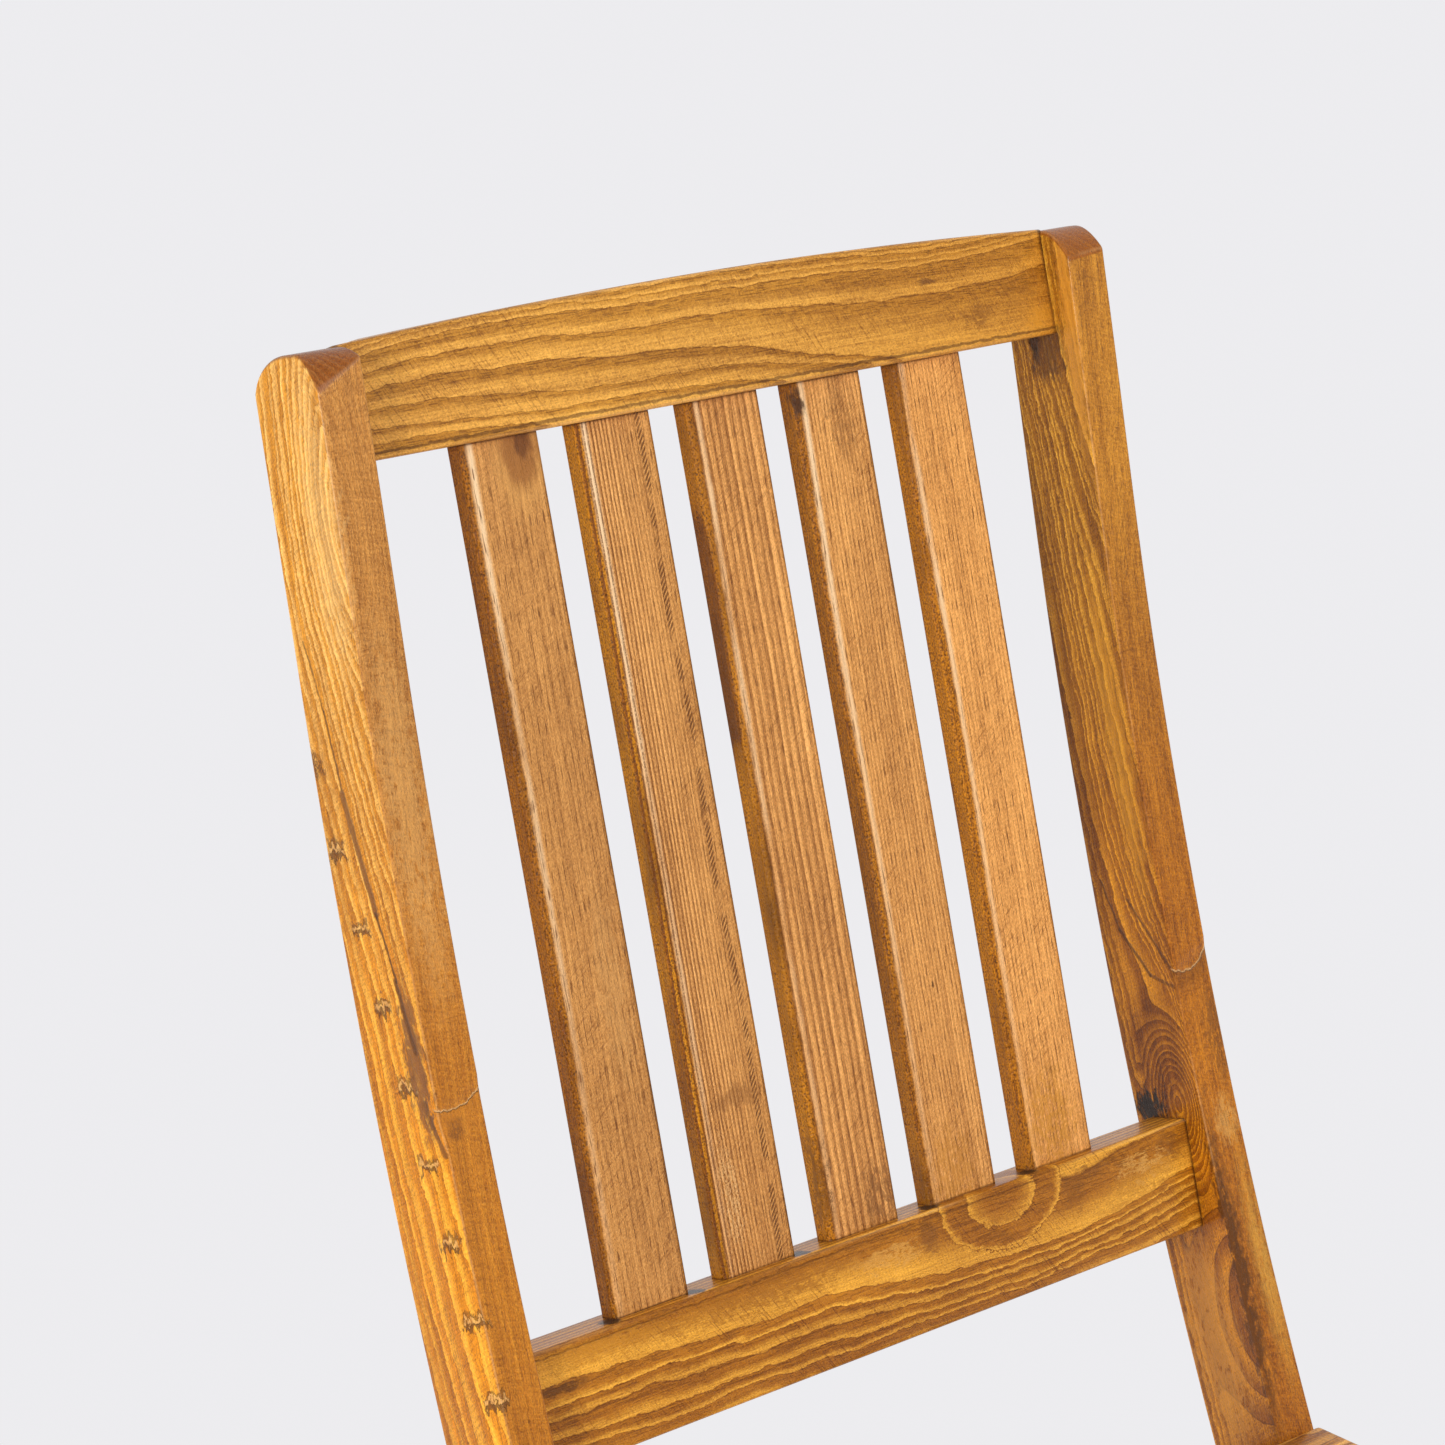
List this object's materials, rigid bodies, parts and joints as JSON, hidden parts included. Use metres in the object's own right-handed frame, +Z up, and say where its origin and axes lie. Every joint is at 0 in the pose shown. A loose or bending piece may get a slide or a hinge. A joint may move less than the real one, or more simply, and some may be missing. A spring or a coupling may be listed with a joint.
{
  "type": "folding chair",
  "caption": "Slatted wooden folding chair with bent back posts that run down to the front feet, a crossing rear leg frame and a hinged slatted seat.",
  "frame": {"origin": "on the floor, under the middle of the open chair's box", "axes": "+Z up, -Y is the chair's front, +X to the right as seen from the front"},
  "size_m": [0.446, 0.5898, 0.9759],
  "materials": {
    "post_wood": "stained pine under satin varnish",
    "rail_wood": "stained pine under satin varnish, wide grain",
    "slat_wood": "stained pine under satin varnish, straight grain",
    "seat_wood": "stained pine under satin varnish",
    "frame_wood": "stained pine under satin varnish",
    "steel": "zinc plated, satin",
    "nylon": "matte moulded nylon"
  },
  "bodies": {
    "back_frame": {"post_left": "post_wood", "post_right": "post_wood", "top_rail": "rail_wood", "lower_back_rail": "rail_wood", "back_slat_1": "slat_wood", "back_slat_2": "slat_wood", "back_slat_3": "slat_wood", "back_slat_4": "slat_wood", "back_slat_5": "slat_wood", "hinge_rail": "frame_wood", "front_stretcher": "frame_wood", "pivot_bolt_left": "steel", "pivot_bolt_right": "steel", "cap_nuts": "steel", "spacer_washers": "steel", "fixed_hinge_leaves": "steel", "hinge_pins": "steel", "fixed_leaf_screws": "steel", "front_glides": "nylon"},
    "leg_frame": {"rear_leg_left": "frame_wood", "rear_leg_right": "frame_wood", "seat_bar": "frame_wood", "rear_stretcher": "frame_wood", "rear_glides": "nylon"},
    "seat": {"seat_side_rail_left": "frame_wood", "seat_side_rail_right": "frame_wood", "seat_front_rail": "frame_wood", "seat_rear_rail": "frame_wood", "seat_slat_1": "seat_wood", "seat_slat_2": "seat_wood", "seat_slat_3": "seat_wood", "seat_slat_4": "seat_wood", "seat_slat_5": "seat_wood", "seat_slat_6": "seat_wood", "seat_slat_7": "seat_wood", "stop_block_left": "frame_wood", "stop_block_right": "frame_wood", "moving_hinge_leaves": "steel", "moving_leaf_screws": "steel", "seat_slat_screws": "steel"}
  },
  "joints": [
    {"name": "seat_fold", "type": "hinge", "parent": "back_frame", "child": "seat", "pos_m": [0, 0.09657, 0.4345], "axis": [-1, 0, 0], "range_deg": [0, 107]},
    {"name": "leg_fold", "type": "hinge", "parent": "back_frame", "child": "leg_frame", "pos_m": [0, 0.02323, 0.218], "axis": [-1, 0, 0], "range_deg": [0, 57]}
  ],
  "couplings": [
    {"joint": "leg_fold", "follows": "seat_fold", "ratio": 0.53}
  ]
}
